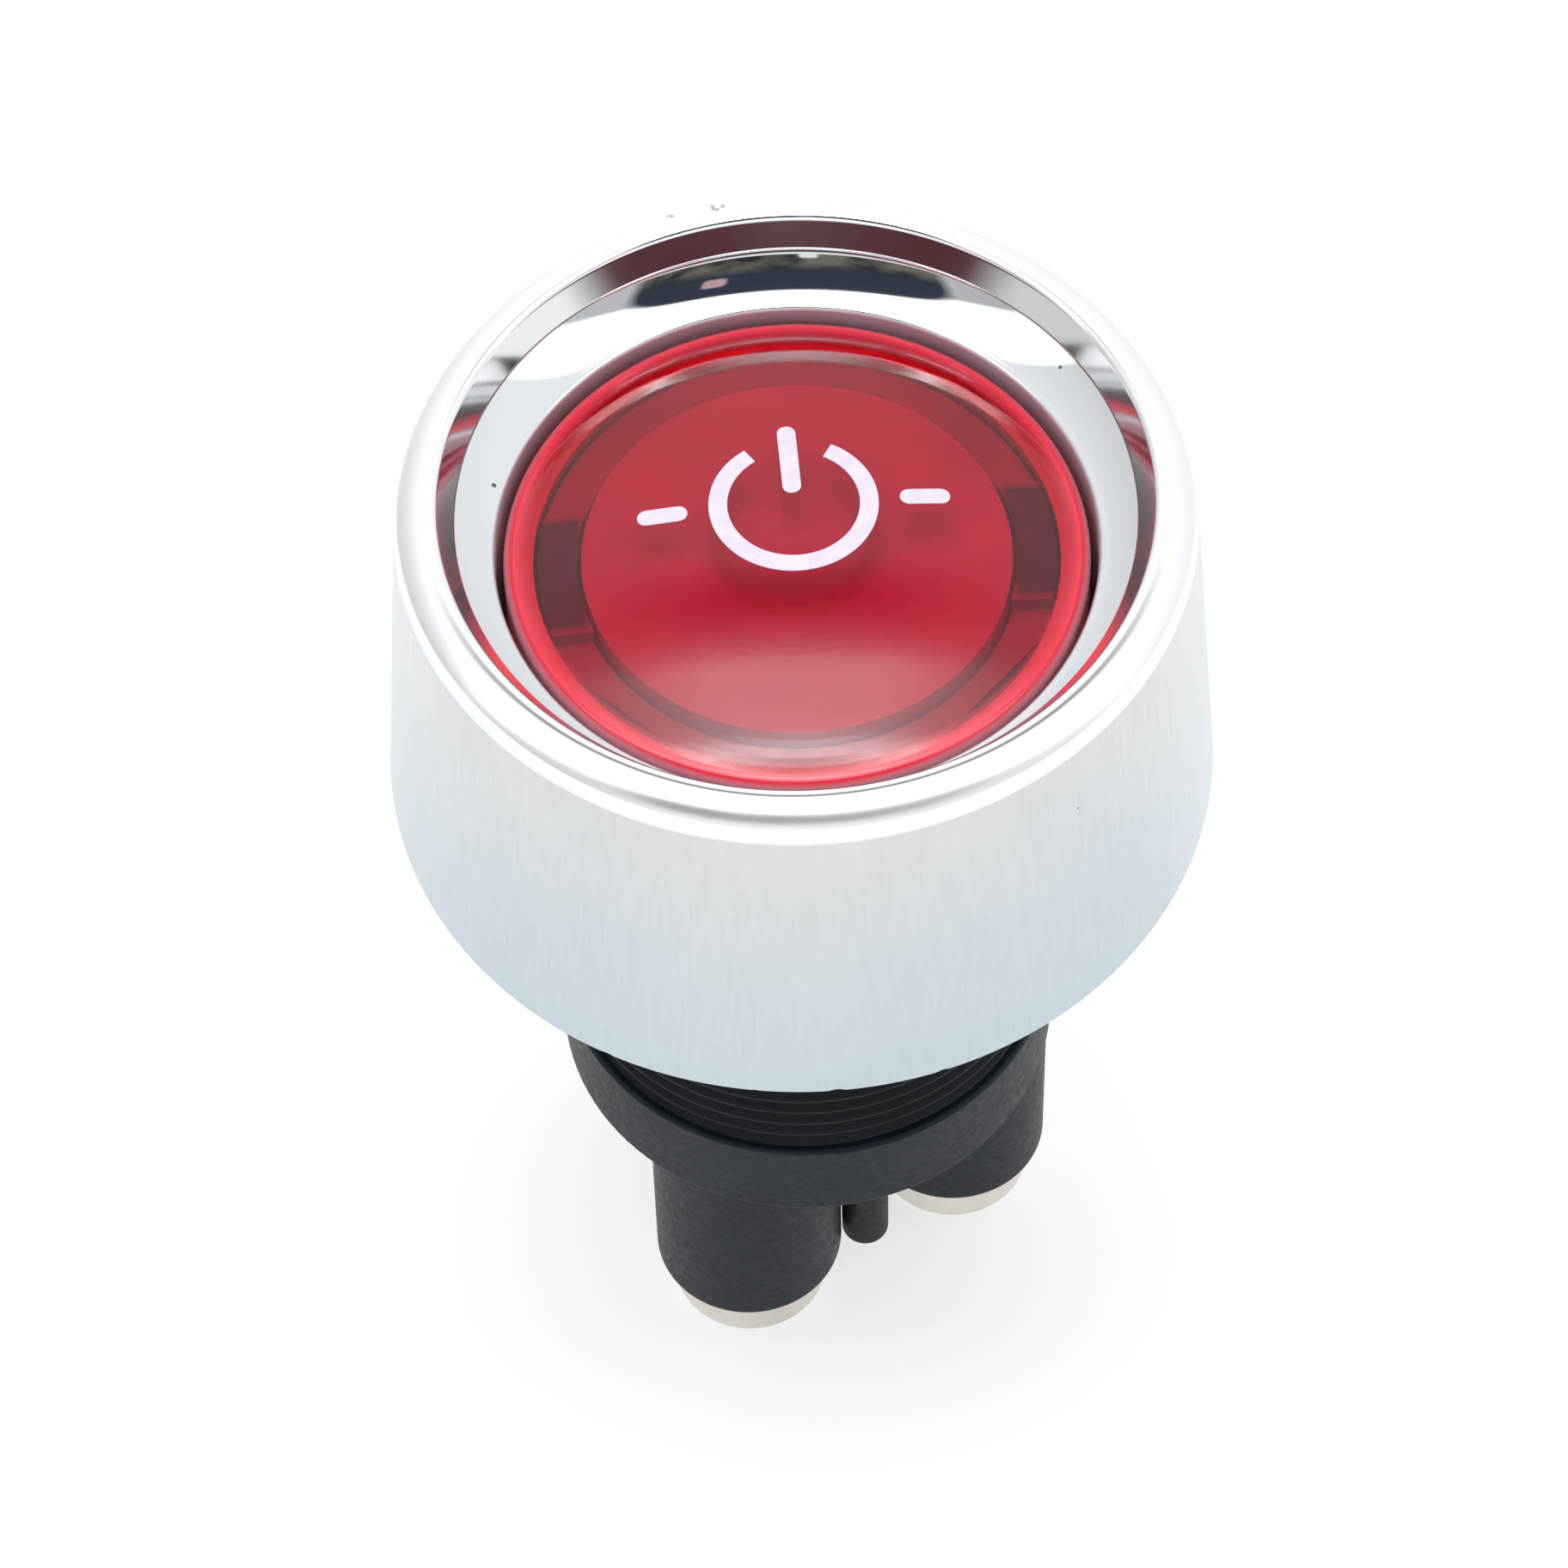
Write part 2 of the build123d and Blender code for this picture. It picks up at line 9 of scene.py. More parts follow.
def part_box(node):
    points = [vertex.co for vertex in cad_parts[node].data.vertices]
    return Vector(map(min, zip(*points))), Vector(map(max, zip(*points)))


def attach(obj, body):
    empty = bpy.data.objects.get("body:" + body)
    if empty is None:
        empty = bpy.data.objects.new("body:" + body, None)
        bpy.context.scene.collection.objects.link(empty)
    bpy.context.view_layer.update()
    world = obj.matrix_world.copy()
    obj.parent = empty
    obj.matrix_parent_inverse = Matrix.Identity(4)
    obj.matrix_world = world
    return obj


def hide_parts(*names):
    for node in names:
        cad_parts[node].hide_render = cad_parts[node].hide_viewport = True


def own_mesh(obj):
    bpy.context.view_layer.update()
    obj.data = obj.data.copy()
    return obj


# The looks of a panel push button: chrome bezel and dish, red lens cap with a printed
# start mark, black threaded neck and terminal towers. Outlines are in millimetres in
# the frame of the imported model, and the meshes are in metres.

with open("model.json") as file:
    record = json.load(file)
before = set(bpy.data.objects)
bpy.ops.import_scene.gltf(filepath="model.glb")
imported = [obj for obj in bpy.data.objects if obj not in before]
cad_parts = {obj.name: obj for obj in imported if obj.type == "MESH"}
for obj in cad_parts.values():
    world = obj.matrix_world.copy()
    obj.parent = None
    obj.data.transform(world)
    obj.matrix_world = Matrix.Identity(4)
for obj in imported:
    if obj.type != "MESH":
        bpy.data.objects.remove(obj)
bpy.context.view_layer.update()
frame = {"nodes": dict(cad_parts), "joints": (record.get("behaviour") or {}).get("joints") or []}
nodes = frame["nodes"]
MM = 0.001


def low(node):
    """A node's lowest corner, in millimetres."""
    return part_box(node)[0] / MM


def high(node):
    """A node's highest corner, in millimetres."""
    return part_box(node)[1] / MM


# ---------------------------------------------------------------- places from the frame
top_z = high("bezel_shell").z
foot_z = low("bezel_shell").z
foot_r = high("bezel_shell").x
rim_plane_z = top_z - 0.95
dish_rim_r = high("dish_ring").x
dish_rim_z = high("dish_ring").z
dish_foot_z = low("dish_ring").z
cap_r = high("button_cap").x
cap_top_z = high("button_cap").z
cap_foot_z = low("button_cap").z
collar_top_z = high("terminal_base").z
neck_end_z = low("barrel").z
tube_top_z = high("barrel").z
flange_r = high("barrel").x

# ---------------------------------------------------------------- sizes of the outlines
CREST_R = 16.5
LAND_ROUND = 2.2
LAND_R = 18.0
BEVEL_R = 18.2
BEVEL_Z = 55.55
CREST_ROUND = 0.4
WALL_SLOPE = 58.0
SEAM_Z = 55.58
LEDGE_R = 16.25
LEDGE_Z = 54.65
FLOOR_Z = 40.4
BEZEL_WALL = 1.35
FOOT_ROUND = 0.15
LIP_R = 13.77
LIP_Z = 53.14
LIP_ROUND = 0.22
LIP_DROP = 0.13
LIP_REACH = 0.3
DISH_R = 16.2
DISH_Z = 54.42
DISH_SAG = 0.095
DISH_UNDER_Z = 52.6
SKIRT_R = 14.9
CAP_WALL = 1.5
CAP_SHOULDER_Z = 52.93
CAP_ROUND = 0.65
CAP_CEILING_Z = 51.6
SKIRT_GAP = 0.02
MARK_THICKNESS = 0.06
MARK_CENTRE_Y = 1.5
MARK_RING_R = 3.45
MARK_STROKE = 0.85
MARK_GAP = 62.0
MARK_BAR = (0.55, 4.6)
MARK_DASH_LENGTH = 2.3
MARK_DASH_CENTRE = 6.0
THREAD_R = 11.9
THREAD_ROOT_R = 11.5
THREAD_PITCH = 1.0
THREAD_TOP_Z = 35.2
THREAD_START = 0.02
THREAD_END = 0.4
NECK_END_R = 10.95
NECK_BORE_R = 9.4
GUIDE_Z = 37.0
GUIDE_R = 8.6
FLANGE_Z = 38.4
FLANGE_EDGE = 0.1
TUBE_IN_R = 15.0
TUBE_OUT_R = 16.0

SIDES = 720


# ---------------------------------------------------------------- outlines
def arc(centre, radius, start, end, steps=12):
    """Points of a circular arc in an outline, from one angle to another in degrees."""
    turns = [math.radians(start + (end - start) * n / steps) for n in range(steps + 1)]
    return [(centre[0] + radius * math.cos(t), centre[1] + radius * math.sin(t)) for t in turns]


def held(outline, reach=0.06):
    """Adds a point close to each end of every long run, so that its shading stays flat."""
    made = []
    for here, there in zip(outline, outline[1:] + outline[:1]):
        made.append(here)
        run = math.dist(here, there)
        if run > 4 * reach:
            for share in (reach / run, 1 - reach / run):
                made.append(tuple(a + (b - a) * share for a, b in zip(here, there)))
    return made


def lathe(name, outline, sides=SIDES, bend=None, sharp=28.0):
    """A closed solid of revolution. bend(r, z, angle) may move each point of it."""
    points, rings = [], []
    for r, z in outline:
        if r < 1e-6:
            rings.append([len(points)])
            points.append((0.0, 0.0, z * MM))
            continue
        ring = []
        for n in range(sides):
            angle = 2 * math.pi * n / sides
            rr, zz = bend(r, z, angle) if bend else (r, z)
            ring.append(len(points))
            points.append((rr * math.cos(angle) * MM, rr * math.sin(angle) * MM, zz * MM))
        rings.append(ring)
    faces = []
    for a, b in zip(rings, rings[1:] + rings[:1]):
        if len(a) == 1 and len(b) == 1:
            continue
        for n in range(sides):
            m = (n + 1) % sides
            corners = [a[n % len(a)], a[m % len(a)], b[m % len(b)], b[n % len(b)]]
            faces.append([c for i, c in enumerate(corners) if c not in corners[:i]])
    return mesh_piece(name, points, faces, sharp)


def mesh_piece(name, points, faces, sharp=28.0):
    """A mesh object with outward faces, smooth but for its sharp edges."""
    data = bpy.data.meshes.new(name)
    data.from_pydata(points, [], faces)
    obj = bpy.data.objects.new(name, data)
    bpy.context.scene.collection.objects.link(obj)
    face_outwards(data)
    data.polygons.foreach_set("use_smooth", [True] * len(data.polygons))
    data.set_sharp_from_angle(angle=math.radians(sharp))
    return obj


def face_outwards(data):
    """Turns every face of a closed mesh outwards."""
    work = bmesh.new()
    work.from_mesh(data)
    bmesh.ops.recalc_face_normals(work, faces=work.faces)
    work.to_mesh(data)
    work.free()


def place(obj, body, slot, material, *replaced):
    """Gives a piece its body, its material and what it stands for. The slot is not used."""
    obj.data.materials.clear()
    obj.data.materials.append(material)
    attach(obj, body)
    if replaced:
        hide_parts(*replaced)
    return obj


# ---------------------------------------------------------------- shader helpers
def add(tree, kind, inputs=None, **settings):
    """A shader node, its settings, and its inputs as values or as links."""
    made = tree.nodes.new(kind)
    for key, value in settings.items():
        setattr(made, key, value)
    for key, value in (inputs or {}).items():
        if isinstance(value, bpy.types.NodeSocket):
            tree.links.new(value, made.inputs[key])
        else:
            made.inputs[key].default_value = value
    return made


def noise(tree, scale, stretch=(1, 1, 1), detail=3.0, rough=0.5):
    """Noise over the object in metres: scale is how many blotches there are in a metre."""
    place_of = add(tree, "ShaderNodeTexCoord").outputs["Object"]
    moved = add(tree, "ShaderNodeMapping", {"Vector": place_of, "Scale": stretch}).outputs["Vector"]
    sizes = {"Vector": moved, "Scale": scale, "Detail": detail, "Roughness": rough}
    return add(tree, "ShaderNodeTexNoise", sizes).outputs["Fac"]


def spread(tree, value, low_in, high_in, low_out, high_out):
    """Maps a value from one range to another, clamped."""
    made = add(tree, "ShaderNodeMapRange", {"Value": value, 1: low_in, 2: high_in, 3: low_out, 4: high_out})
    return made.outputs["Result"]


def blend_colours(tree, factor, first, second, mode="MIX"):
    """From the first colour to the second, or with "MULTIPLY" to their product."""
    made = add(tree, "ShaderNodeMix", {"Factor": factor}, data_type="RGBA", blend_type=mode)
    for socket, value in ((made.inputs[6], first), (made.inputs[7], second)):
        if isinstance(value, bpy.types.NodeSocket):
            tree.links.new(value, socket)
        else:
            socket.default_value = (*value, 1)
    return made.outputs[2]


def maths(tree, operation, first, second=0.0):
    return add(tree, "ShaderNodeMath", {0: first, 1: second}, operation=operation).outputs[0]


def off_axis(tree):
    """How far a point of the object is from the part's axis, in metres."""
    place_of = add(tree, "ShaderNodeTexCoord").outputs["Object"]
    flat = add(tree, "ShaderNodeMapping", {"Vector": place_of, "Scale": (1, 1, 0)}).outputs["Vector"]
    return add(tree, "ShaderNodeVectorMath", {0: flat}, operation="LENGTH").outputs["Value"]


def bump(tree, height, depth_mm, strength=1.0):
    made = add(tree, "ShaderNodeBump", {"Height": height, "Distance": depth_mm * MM, "Strength": strength})
    return made.outputs["Normal"]


def start_material(name):
    material = bpy.data.materials.new(name)
    material.use_nodes = True
    return material, material.node_tree, material.node_tree.nodes["Principled BSDF"]


def moulded(name, dark, light, roughness, metallic=0.0, blotch=220, grain=2600, grain_mm=0.006, extra=None):
    """A material with a slow change of tone, a fine grain and uneven roughness."""
    material, tree, shader = start_material(name)
    tone = spread(tree, noise(tree, blotch), 0.35, 0.65, 0, 1)
    tree.links.new(blend_colours(tree, tone, dark, light), shader.inputs["Base Color"])
    fine = noise(tree, grain, detail=4)
    uneven = spread(tree, fine, 0.3, 0.7, roughness * 0.85, roughness * 1.15)
    tree.links.new(uneven, shader.inputs["Roughness"])
    tree.links.new(bump(tree, fine, grain_mm), shader.inputs["Normal"])
    shader.inputs["Metallic"].default_value = metallic
    for key, value in (extra or {}).items():
        shader.inputs[key].default_value = value
    return material


WORN_COLOUR = (0.16, 0.15, 0.15)
# Painted reflection: a bluer, darker tint for the plating near its foot.
LOW_REFLECTION_TINT = (0.81, 0.905, 0.965)
CLOUD_TINT = (0.955, 0.97, 0.985)
STREAK_DARKER = 0.94
STREAK_MM = 0.0002
BORE_ROUGHNESS = 0.55


def chrome(name, light, lit_top_colour, streaks, polished, satin, satin_from):
    """Bright plating: satin outside a radius, with faint streaks along the axis, pits and wear, a painted
    shade that makes the side darker than the top, and a painted reflection that tints the side bluer and
    darker towards the foot.
    """
    material, tree, shader = start_material(name)
    object_place = add(tree, "ShaderNodeTexCoord").outputs["Object"]
    out = off_axis(tree)

    streak = noise(tree, 3.0, stretch=(1300, 1300, 40), detail=3)
    tone = spread(tree, streak, 0.3, 0.7, 0, streaks)
    clean = blend_colours(tree, tone, light, tuple(c * STREAK_DARKER for c in light))
    cloudy = spread(tree, noise(tree, 130, stretch=(1, 1, 0.35)), 0.4, 0.62, 0, 0.7)
    clean = blend_colours(tree, cloudy, clean, CLOUD_TINT, "MULTIPLY")
    # Painted reflection: the plating is tinted bluer and darker towards the foot.
    rise = add(tree, "ShaderNodeSeparateXYZ", {0: object_place}).outputs["Z"]
    painted_low_reflection = spread(tree, rise, foot_z * MM, BEVEL_Z * MM, 1.0, 0.0)
    clean = blend_colours(tree, painted_low_reflection, clean, LOW_REFLECTION_TINT, "MULTIPLY")
    # Painted shade: the side outside the bevel keeps the first, darker colour, and the top inside it takes
    # the lighter one.
    lit_top = spread(tree, out, (BEVEL_R - 0.01) * MM, (BEVEL_R + 0.01) * MM, 1.0, 0.0)
    clean = blend_colours(tree, lit_top, clean, lit_top_colour)

    pits = add(tree, "ShaderNodeTexVoronoi", {"Vector": object_place, "Scale": 420.0})
    pit_size = spread(tree, noise(tree, 160), 0.6, 0.72, 0.0, 0.07)
    in_pit = maths(tree, "LESS_THAN", pits.outputs["Distance"], pit_size)
    worn = add(tree, "ShaderNodeAttribute", attribute_name="wear").outputs["Fac"]
    marks = maths(tree, "MAXIMUM", in_pit, worn)
    tree.links.new(blend_colours(tree, marks, clean, WORN_COLOUR), shader.inputs["Base Color"])

    base = spread(tree, out, satin_from * MM, (satin_from + 0.3) * MM, polished, satin)
    in_bore = spread(tree, out, (LIP_R + 0.05) * MM, (LIP_R + 0.1) * MM, BORE_ROUGHNESS, 0.0)
    uneven = spread(tree, noise(tree, 90, detail=4), 0.3, 0.75, 0.85, 1.25)
    rough = maths(tree, "MULTIPLY", maths(tree, "MAXIMUM", base, in_bore), uneven)
    tree.links.new(rough, shader.inputs["Roughness"])
    tree.links.new(bump(tree, streak, STREAK_MM * streaks), shader.inputs["Normal"])
    shader.inputs["Metallic"].default_value = 1.0
    return material


LUG_INNER_X = 9.6
LUG_HALF_WIDTH = 3.1
LUG_COLOUR = (0.06, 0.04, 0.04)


def darken_lugs(material):
    """The lugs at the left and the right of the carrier are darker than its ring."""
    tree = material.node_tree
    shader = tree.nodes["Principled BSDF"]
    ring = shader.inputs["Base Color"].links[0].from_socket
    parts = add(tree, "ShaderNodeSeparateXYZ", {0: add(tree, "ShaderNodeNewGeometry").outputs["Position"]})
    across = maths(tree, "ABSOLUTE", parts.outputs["X"])
    along = maths(tree, "ABSOLUTE", parts.outputs["Y"])
    in_x = spread(tree, across, (LUG_INNER_X - 0.2) * MM, (LUG_INNER_X + 0.2) * MM, 0, 1)
    in_y = spread(tree, along, (LUG_HALF_WIDTH - 0.3) * MM, (LUG_HALF_WIDTH + 0.3) * MM, 1, 0)
    colour = blend_colours(tree, maths(tree, "MULTIPLY", in_x, in_y), ring, LUG_COLOUR)
    tree.links.new(colour, shader.inputs["Base Color"])


LENS_COLOURS = ((0.90, 0.034, 0.18), (0.93, 0.044, 0.205))
LENS_EDGE_COLOUR = (0.90, 0.05, 0.085)
# Painted highlight: the pale lilac colour of the shoulder's outer corner.
LENS_CORNER_HIGHLIGHT = (0.66, 0.27, 0.34)
LENS_EDGE_CLEAR = 0.25


def lens_red(name):
    """Tinted acrylic, clear but for its milky edge, with a painted pale highlight round its shoulder's
    outer corner and a few fine surface marks.
    """
    material, tree, shader = start_material(name)
    out = off_axis(tree)
    tint = blend_colours(tree, spread(tree, noise(tree, 60), 0.3, 0.7, 0, 1), *LENS_COLOURS)
    at_edge = spread(tree, out, (cap_r - 1.5) * MM, (cap_r - 0.9) * MM, 0, 1)
    tint = blend_colours(tree, at_edge, tint, LENS_EDGE_COLOUR)
    # Painted highlight: a pale lilac tint at the shoulder's outer corner.
    painted_corner_highlight = spread(tree, out, (cap_r - 0.3) * MM, (cap_r - 0.1) * MM, 0, 1)
    tint = blend_colours(tree, painted_corner_highlight, tint, LENS_CORNER_HIGHLIGHT)
    tree.links.new(tint, shader.inputs["Base Color"])
    clear = spread(tree, out, (cap_r - 1.3) * MM, (cap_r - 0.5) * MM, 1.0, LENS_EDGE_CLEAR)
    tree.links.new(clear, shader.inputs["Transmission Weight"])
    fine = noise(tree, 1500, detail=5)
    tree.links.new(spread(tree, fine, 0.35, 0.75, 0.035, 0.09), shader.inputs["Roughness"])
    tree.links.new(bump(tree, fine, 0.00015), shader.inputs["Normal"])
    shader.inputs["IOR"].default_value = 1.49
    return material


# ---------------------------------------------------------------- camera
VIEW_ELEVATION = math.radians(55.05)
VIEW_TURN = math.radians(3.4)
VIEW_ROLL = math.radians(-1.6)
VIEW_DISTANCE = 271.3
VIEW_DOWN = 12.53
VIEW_LEFT = 0.88
LENS = 138.16

right = Vector((math.cos(VIEW_TURN), -math.sin(VIEW_TURN), 0))
level = Vector((math.sin(VIEW_TURN), math.cos(VIEW_TURN), 0))
up = level * math.sin(VIEW_ELEVATION) + Vector((0, 0, math.cos(VIEW_ELEVATION)))
forward = level * math.cos(VIEW_ELEVATION) - Vector((0, 0, math.sin(VIEW_ELEVATION)))


def make_camera():
    data = bpy.data.cameras.new("camera")
    camera = bpy.data.objects.new("camera", data)
    bpy.context.scene.collection.objects.link(camera)
    data.lens = LENS
    data.sensor_width = 36
    data.clip_start, data.clip_end = 0.01, 20
    spot = Vector((0, 0, rim_plane_z)) - forward * VIEW_DISTANCE - up * VIEW_DOWN - right * VIEW_LEFT
    across = right * math.cos(VIEW_ROLL) + up * math.sin(VIEW_ROLL)
    upward = up * math.cos(VIEW_ROLL) - right * math.sin(VIEW_ROLL)
    turn = Matrix((across, upward, -forward)).transposed()
    camera.matrix_world = Matrix.Translation(spot * MM) @ turn.to_4x4()
    bpy.context.scene.camera = camera


# ---------------------------------------------------------------- studio
# A direction's place in the studio is given by side and rise, its dot products with the
# camera's right and up, by height, its dot product with the vertical, and by lean, how far
# it leans away from the camera for each unit that it climbs.
TENT_LOW = 0.90
TENT_HIGH = 1.04
TENT_HEIGHT = (0.15, 0.7)
NEAR_SIDE = (0.1, 0.2)
OVERHEAD = (0.1, 0.2)
FLATTEST = 0.05
# The lamp and the gap behind it, as lean and light.
LAMP = (
    (-0.25, 1.0), (-0.20, 5.0), (0.08, 5.0), (0.15, 1.3), (0.177, 2.0), (0.194, 4.0), (0.21, 7.0),
    (0.229, 13.0), (0.25, 8.5), (0.27, 5.0), (0.29, 4.5), (0.39, 4.2), (0.417, 3.6), (0.44, 2.1),
    (0.48, 1.0), (0.52, 0.45), (0.565, 0.25), (0.62, 0.45), (0.70, 1.1),
)
LAMP_MOST = 13.0
LAMP_NARROWS = (0.08, 0.17)
LAMP_WIDE = (0.95, 0.37)
LAMP_SOFT = (0.6, 0.25)
LAMP_TILT = (1.12, 0.88)
LEFT_END = (-0.9, -0.4)
LEFT_LIGHT = 0.7
WHITE = (0.985, 1.0, 1.015)
ROOM_WIDE = 0.46
ROOM_HIGH = 0.23
ROOM_RISE = 0.18
ROOM_SOFT = 0.18
ROOM_THINGS = ((0.035, 0.036, 0.036), (0.19, 0.18, 0.14))
CLUTTER_EDGE = (0.42, 0.58)
ROOM_NAVY = (0.04, 0.05, 0.072)
ROOM_NAVY_RISE = (0.16, 0.24)
# Bright spots in the room, as side, rise, size and colour.
ROOM_SPOTS = ((-0.06, 0.09, 0.03, (0.95, 0.95, 0.93)), (0.21, 0.29, 0.035, (0.62, 0.4, 0.42)))
SPOT_EDGE = (0.4, 1.4)
HALO_WIDE = 0.85
HALO_HIGH = 0.253
HALO_SOFT = 0.8
HALO_LEVEL = 0.6
DESK_FOOT = (0.13, 0.18)
DESK_HEIGHT = (0.27, 0.31)
DESK_WIDE = (0.1, 0.35)
DESK_COLOUR = (0.085, 0.028, 0.033)


def make_lamp(tree, lean):
    """The light of the lamp by how far a direction leans away from the camera."""
    start, end = LAMP[0][0], LAMP[-1][0]
    ramp = add(tree, "ShaderNodeValToRGB", {"Fac": spread(tree, lean, start, end, 0, 1)})
    stops = ramp.color_ramp.elements
    while len(stops) < len(LAMP):
        stops.new(0.5)
    for stop, (at, light) in zip(stops, LAMP):
        share = light / LAMP_MOST
        stop.position = (at - start) / (end - start)
        stop.color = (share, share, share, 1)
    return maths(tree, "MULTIPLY", ramp.outputs["Color"], LAMP_MOST)


def make_world():
    """A white tent with a long lamp overhead, and the dark room on the camera's side."""
    world = bpy.data.worlds.new("tent")
    bpy.context.scene.world = world
    world.use_nodes = True
    tree = world.node_tree
    sky = tree.nodes["Background"]
    facing = add(tree, "ShaderNodeTexCoord").outputs["Generated"]

    def along(axis):
        share = add(tree, "ShaderNodeVectorMath", {0: facing, 1: axis}, operation="DOT_PRODUCT")
        return share.outputs["Value"]

    side, rise, height = along(right), along(up), along(Vector((0, 0, 1)))
    near = spread(tree, along(-forward), *NEAR_SIDE, 0.0, 1.0)

    def rounded_box(turn, lift, wide, high):
        """Below one inside a box with round corners, and above one outside it."""
        powers = []
        for value, middle, size in ((side, turn, wide), (rise, lift, high)):
            share = maths(tree, "DIVIDE", maths(tree, "SUBTRACT", value, middle), size)
            powers.append(maths(tree, "POWER", share, 4.0))
        return maths(tree, "ADD", *powers)

    def in_room(wide, high, soft):
        edge = rounded_box(0.0, ROOM_RISE, wide, high)
        return maths(tree, "MULTIPLY", spread(tree, edge, 1 - soft, 1 + soft, 1.0, 0.0), near)

    tent = spread(tree, height, *TENT_HEIGHT, TENT_LOW, TENT_HIGH)
    lean = maths(tree, "DIVIDE", along(level), maths(tree, "MAXIMUM", height, FLATTEST))
    lamp = maths(tree, "MULTIPLY", make_lamp(tree, lean), spread(tree, side, -0.5, 0.5, *LAMP_TILT))
    reach = spread(tree, lean, *LAMP_NARROWS, *LAMP_WIDE)
    soft = spread(tree, lean, *LAMP_NARROWS, *LAMP_SOFT)
    full = maths(tree, "SUBTRACT", reach, soft)
    within = spread(tree, maths(tree, "ABSOLUTE", side), full, reach, 1.0, 0.0)
    overhead = spread(tree, height, *OVERHEAD, 0.0, 1.0)
    begun = spread(tree, lean, LAMP[0][0], LAMP[0][0] + 0.01, 0.0, 1.0)
    within = maths(tree, "MULTIPLY", maths(tree, "MULTIPLY", within, overhead), begun)
    light = add(tree, "ShaderNodeMix", {"Factor": within, 2: tent, 3: lamp}, data_type="FLOAT").outputs[0]

    light = maths(tree, "MULTIPLY", light, spread(tree, side, *LEFT_END, LEFT_LIGHT, 1.0))
    halo = in_room(HALO_WIDE, HALO_HIGH, HALO_SOFT)
    light = maths(tree, "MULTIPLY", light, spread(tree, halo, 0, 1, 1, HALO_LEVEL))
    channels = {n: maths(tree, "MULTIPLY", light, share) for n, share in enumerate(WHITE)}
    white = add(tree, "ShaderNodeCombineXYZ", channels).outputs[0]

    clutter = add(tree, "ShaderNodeTexNoise", {"Vector": facing, "Scale": 7.0, "Detail": 4.0})
    shapes = spread(tree, clutter.outputs["Fac"], *CLUTTER_EDGE, 0, 1)
    room = blend_colours(tree, shapes, *ROOM_THINGS)
    room = blend_colours(tree, spread(tree, rise, *ROOM_NAVY_RISE, 0, 1), room, ROOM_NAVY)
    for turn, lift, size, colour in ROOM_SPOTS:
        spot = spread(tree, rounded_box(turn, lift, size, size), *SPOT_EDGE, 1, 0)
        room = blend_colours(tree, spot, room, colour)

    desk = spread(tree, height, *DESK_HEIGHT, 1.0, 0.0)
    desk = maths(tree, "MULTIPLY", desk, spread(tree, height, *DESK_FOOT, 0.0, 1.0))
    desk = maths(tree, "MULTIPLY", desk, spread(tree, along(-level), *DESK_WIDE, 0.0, 1.0))
    around = blend_colours(tree, desk, white, DESK_COLOUR)
    inside = in_room(ROOM_WIDE, ROOM_HIGH, ROOM_SOFT)
    tree.links.new(blend_colours(tree, inside, around, room), sky.inputs["Color"])
    sky.inputs["Strength"].default_value = 1.0
    bpy.context.scene.view_settings.view_transform = "Standard"


FLOOR_HALF = 3.0
FLOOR_COLOURS = ((0.375, 0.377, 0.380), (0.385, 0.387, 0.390))
FLOOR_GLOW = 0.66


def make_floor():
    """Pale paper that glows a little, and is clear from below."""
    half = FLOOR_HALF
    corners = [(-half, -half, 0), (half, -half, 0), (half, half, 0), (-half, half, 0)]
    floor = mesh_piece("floor", corners, [(0, 1, 2, 3)])
    material, tree, shader = start_material("paper")
    tone = spread(tree, noise(tree, 14), 0.3, 0.7, 0, 1)
    tree.links.new(blend_colours(tree, tone, *FLOOR_COLOURS), shader.inputs["Base Color"])
    shader.inputs["Roughness"].default_value = 0.9
    shader.inputs["Specular IOR Level"].default_value = 0.1
    shader.inputs["Emission Color"].default_value = (1.0, 1.0, 1.0, 1.0)
    shader.inputs["Emission Strength"].default_value = FLOOR_GLOW
    behind = add(tree, "ShaderNodeNewGeometry").outputs["Backfacing"]
    clear = add(tree, "ShaderNodeBsdfTransparent").outputs[0]
    either = add(tree, "ShaderNodeMixShader", {0: behind, 1: shader.outputs[0], 2: clear}).outputs[0]
    tree.links.new(either, tree.nodes["Material Output"].inputs["Surface"])
    floor.data.materials.append(material)


# ---------------------------------------------------------------- bezel
# Where the wall ends at the seam: points by how far they are out from its edge, and up.
SEAM_TURN = ((0.02, 0.05), (0.0, 0.0), (0.05, -0.06), (0.15, -0.25))
# Nicks in the foot's edge: where they are in degrees, half their width in degrees, and depth.
NICKS = (
    (-90.0, 1.1, 0.12), (-75.4, 0.8, 0.09), (-122.0, 0.9, 0.07), (-101.0, 0.5, 0.04), (38.0, 0.8, 0.06),
)
NICK_ACROSS = 0.5
NICK_UP = 0.4
# Hairlines on the rim: where they are in degrees, and the radii they run between.
HAIRLINES = ((97.6, 17.1, 17.75), (104.5, 17.4, 17.7), (96.4, 17.3, 17.5))
HAIRLINE_SLANT = 1.2
HAIRLINE_HALF = 0.3
HAIRLINE_DARK = 0.75


